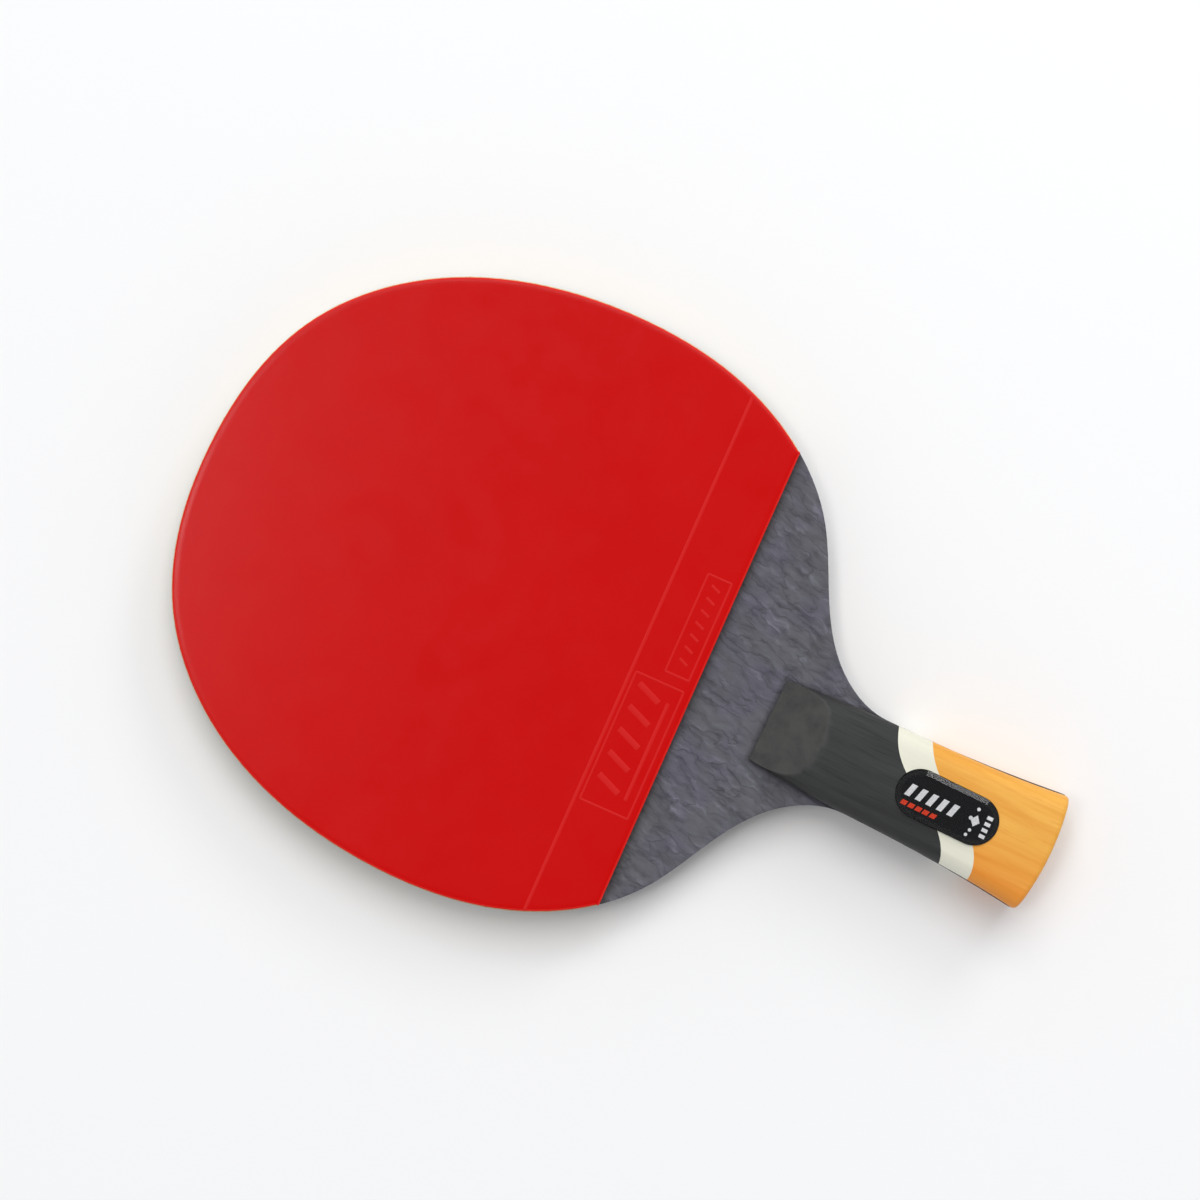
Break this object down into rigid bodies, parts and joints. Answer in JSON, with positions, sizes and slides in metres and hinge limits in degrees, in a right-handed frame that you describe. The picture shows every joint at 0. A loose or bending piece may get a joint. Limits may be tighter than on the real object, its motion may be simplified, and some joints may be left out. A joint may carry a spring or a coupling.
{
  "type": "table tennis paddle",
  "caption": "Penhold table tennis paddle: rounded laminated head with pimpled-in rubber sheets on both faces, bare shoulders and a short laminated wooden handle with an oval badge.",
  "frame": {"origin": "under the middle of the paddle's box in plan, level with its lowest point, which is the crown of the backhand handle scale by the butt", "axes": "+Y runs along the paddle from the butt to the tip of the head, +Z leaves the forehand face, +X runs across the head to the right when the forehand face is seen with the head up"},
  "size_m": [0.15, 0.2286, 0.0237],
  "materials": {
    "core_wood": "satin",
    "carbon": "matte",
    "dyed_veneer": "satin",
    "sponge": "matte",
    "red_rubber": "satin",
    "black_rubber": "satin",
    "dark_wood": "satin",
    "pale_wood": "satin",
    "orange_wood": "satin",
    "badge_foil": "gloss",
    "badge_lens": "gloss"
  },
  "bodies": {
    "root": {"core_ply": "core_wood", "forehand_inner_veneer": "core_wood", "forehand_carbon_layer": "carbon", "forehand_outer_veneer": "dyed_veneer", "forehand_sponge": "sponge", "forehand_top_sheet": "red_rubber", "forehand_scale_fore": "dark_wood", "forehand_scale_band": "pale_wood", "forehand_scale_butt": "orange_wood", "backhand_inner_veneer": "core_wood", "backhand_carbon_layer": "carbon", "backhand_outer_veneer": "dyed_veneer", "backhand_sponge": "sponge", "backhand_top_sheet": "black_rubber", "backhand_scale_fore": "dark_wood", "backhand_scale_band": "pale_wood", "backhand_scale_butt": "orange_wood", "badge_plate": "badge_foil", "badge_lens": "badge_lens"}
  },
  "joints": []
}
